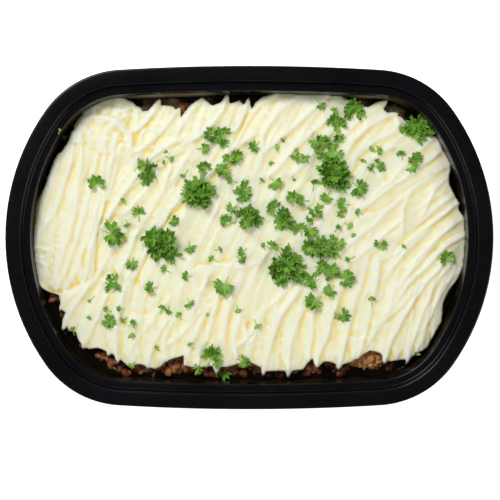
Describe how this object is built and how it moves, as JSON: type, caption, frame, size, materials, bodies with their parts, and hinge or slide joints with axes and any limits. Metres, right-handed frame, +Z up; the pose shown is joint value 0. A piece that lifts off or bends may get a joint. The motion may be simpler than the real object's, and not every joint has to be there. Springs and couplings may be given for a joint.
{
  "type": "shepherds pie",
  "caption": "Ready meal in a shallow rounded black tray: minced meat in dark gravy under fork-ridged mashed potato, with chopped curly parsley on top.",
  "frame": {"origin": "on the table under the middle of the tray", "axes": "+X along the tray's long side, +Y across it, +Z up"},
  "size_m": [0.22, 0.1548, 0.04],
  "materials": {
    "tray": "black satin plastic with a soft sheen",
    "mince": "cooked brown mince, moist and grainy",
    "gravy": "thick dark gravy, glossy",
    "mash": "smooth cream mashed potato, faintly moist",
    "parsley": "fresh chopped curly parsley leaves"
  },
  "bodies": {
    "root": {"tray": "tray", "mince_filling": "mince", "gravy": "gravy", "mash_topping": "mash", "parsley_clump_01": "parsley", "parsley_clump_02": "parsley", "parsley_clump_03": "parsley", "parsley_clump_04": "parsley", "parsley_clump_05": "parsley", "parsley_clump_06": "parsley", "parsley_clump_07": "parsley", "parsley_clump_08": "parsley", "parsley_clump_09": "parsley", "parsley_clump_10": "parsley", "parsley_clump_11": "parsley", "parsley_clump_12": "parsley"}
  },
  "joints": []
}
